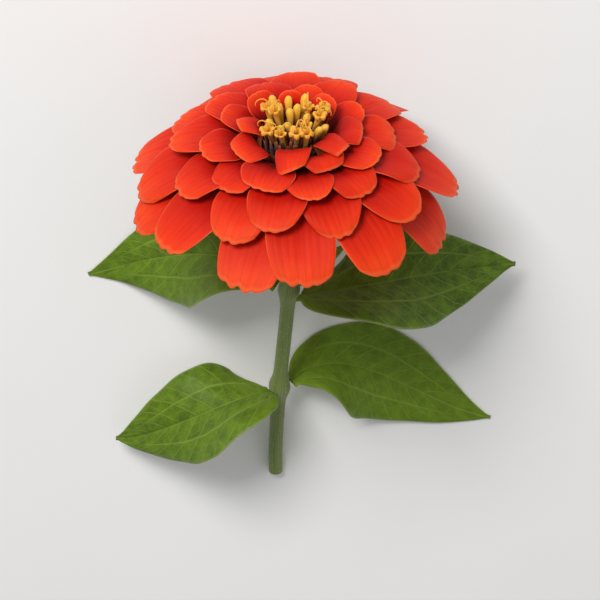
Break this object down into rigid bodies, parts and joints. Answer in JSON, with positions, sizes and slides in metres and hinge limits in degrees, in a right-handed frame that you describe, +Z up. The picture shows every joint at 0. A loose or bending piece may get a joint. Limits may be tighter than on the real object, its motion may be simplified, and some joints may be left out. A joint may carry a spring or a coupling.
{
  "type": "cut zinnia flower",
  "caption": "Double orange-red zinnia as picked, lying on its side: domed head of overlapping petals, yellow disc, green stem with paired leaves.",
  "frame": {"origin": "on the surface the flower lies on, under the middle of its box", "axes": "+Z up; the stem runs from the head at -Y back towards +Y; +X to the right seen from the head's side"},
  "size_m": [0.1024, 0.1086, 0.0682],
  "materials": {
    "petal": "velvety matte",
    "leaf": "matte, finely hairy",
    "bract": "matte, dark edged",
    "disc": "matte",
    "stem": "matte, hairy"
  },
  "bodies": {
    "root": {"petal_01": "petal", "petal_02": "petal", "petal_03": "petal", "petal_04": "petal", "petal_05": "petal", "petal_06": "petal", "petal_07": "petal", "petal_08": "petal", "petal_09": "petal", "petal_10": "petal", "petal_11": "petal", "petal_12": "petal", "petal_13": "petal", "petal_14": "petal", "petal_15": "petal", "petal_16": "petal", "petal_17": "petal", "petal_18": "petal", "petal_19": "petal", "petal_20": "petal", "petal_21": "petal", "petal_22": "petal", "petal_23": "petal", "petal_24": "petal", "petal_25": "petal", "petal_26": "petal", "petal_27": "petal", "petal_28": "petal", "petal_29": "petal", "petal_30": "petal", "petal_31": "petal", "petal_32": "petal", "petal_33": "petal", "petal_34": "petal", "petal_35": "petal", "petal_36": "petal", "petal_37": "petal", "petal_38": "petal", "petal_39": "petal", "petal_40": "petal", "petal_41": "petal", "petal_42": "petal", "petal_43": "petal", "petal_44": "petal", "petal_45": "petal", "petal_46": "petal", "petal_47": "petal", "petal_48": "petal", "petal_49": "petal", "petal_50": "petal", "stem": "stem", "involucre": "bract", "disc_florets": "disc", "leaf_upper_right": "leaf", "leaf_upper_left": "leaf", "leaf_lower_right": "leaf", "leaf_lower_left": "leaf", "axillary_leaf_right": "leaf", "axillary_leaf_left": "leaf"}
  },
  "joints": []
}
